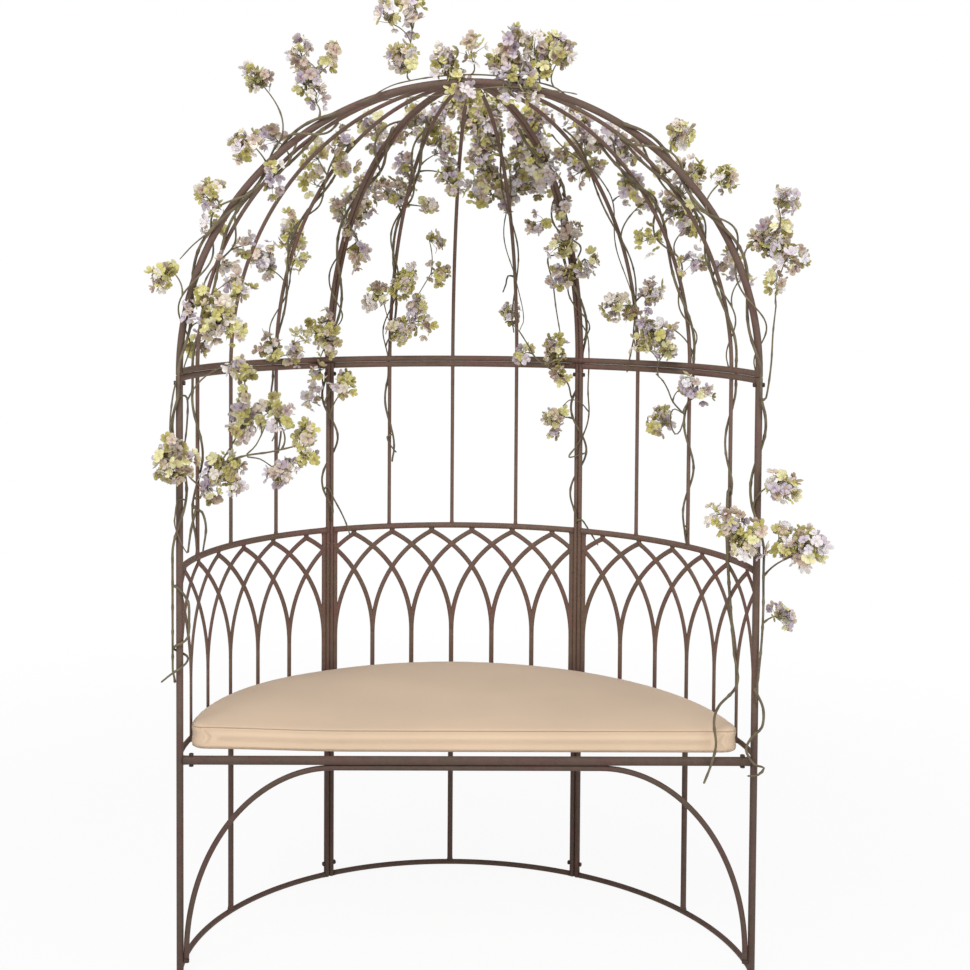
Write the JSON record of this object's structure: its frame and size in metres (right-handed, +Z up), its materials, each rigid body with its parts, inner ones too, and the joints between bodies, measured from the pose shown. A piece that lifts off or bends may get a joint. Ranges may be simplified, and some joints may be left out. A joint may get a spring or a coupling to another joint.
{
  "type": "metal garden arbour",
  "caption": "Half-round metal garden arbour: domed rods over a curved bench with an interlaced arch back, a loose D-shaped cushion and blossom garlands.",
  "frame": {"origin": "on the floor under the middle of the back, on the underside of the middle base rail", "axes": "+Z up, the open front faces -Y, +X to the right as seen from the front"},
  "size_m": [1.5012, 0.7832, 2.1716],
  "materials": {
    "front_metal": "matt mottled brown",
    "back_metal": "matt dark brown",
    "bolt_metal": "matt dark brown",
    "cushion_cloth": "plain beige cotton",
    "blossom": "lilac and green"
  },
  "bodies": {
    "frame": {"apron_arch": "front_metal", "arched_back_left": "back_metal", "arched_back_middle": "back_metal", "arched_back_right": "back_metal", "back_rail_left": "back_metal", "back_rail_middle": "back_metal", "back_rail_right": "back_metal", "base_rail_left": "back_metal", "base_rail_middle": "back_metal", "base_rail_right": "back_metal", "crown_bolt": "bolt_metal", "crown_hub": "back_metal", "dome_panel_left": "back_metal", "dome_panel_middle": "back_metal", "dome_panel_right": "back_metal", "foot_bolt_left": "bolt_metal", "foot_bolt_right": "bolt_metal", "front_rail": "front_metal", "garland_crown": "blossom", "garland_joint_left": "blossom", "garland_joint_right": "blossom", "garland_post_left": "blossom", "garland_post_right": "blossom", "garland_rib_left": "blossom", "garland_rib_right": "blossom", "garland_rod_back_left": "blossom", "garland_rod_back_right": "blossom", "garland_rod_far_right": "blossom", "garland_rod_left": "blossom", "garland_rod_right": "blossom", "hoop": "front_metal", "joint_leg_left_inner": "back_metal", "joint_leg_left_outer": "back_metal", "joint_leg_right_inner": "back_metal", "joint_leg_right_outer": "back_metal", "leg_left": "back_metal", "leg_middle": "back_metal", "leg_right": "back_metal", "post_left": "front_metal", "post_right": "front_metal", "rail_bolt_left": "bolt_metal", "rail_bolt_right": "bolt_metal", "rest_screw_left": "bolt_metal", "rest_screw_right": "bolt_metal", "seat_deck": "back_metal", "seat_rail_left": "back_metal", "seat_rail_middle": "back_metal", "seat_rail_right": "back_metal", "spigot_bolt_left": "bolt_metal", "spigot_bolt_right": "bolt_metal", "stile_bolt_left": "bolt_metal", "stile_bolt_right": "bolt_metal", "stile_left_inner": "back_metal", "stile_left_outer": "back_metal", "stile_right_inner": "back_metal", "stile_right_outer": "back_metal", "upper_rods_left": "back_metal", "upper_rods_middle": "back_metal", "upper_rods_right": "back_metal"},
    "cushion": {"seat_cushion": "cushion_cloth"}
  },
  "joints": [
    {"name": "cushion_lift", "type": "slide", "parent": "frame", "child": "cushion", "axis": [0, 0, 1], "range_m": [0, 0.25]}
  ]
}
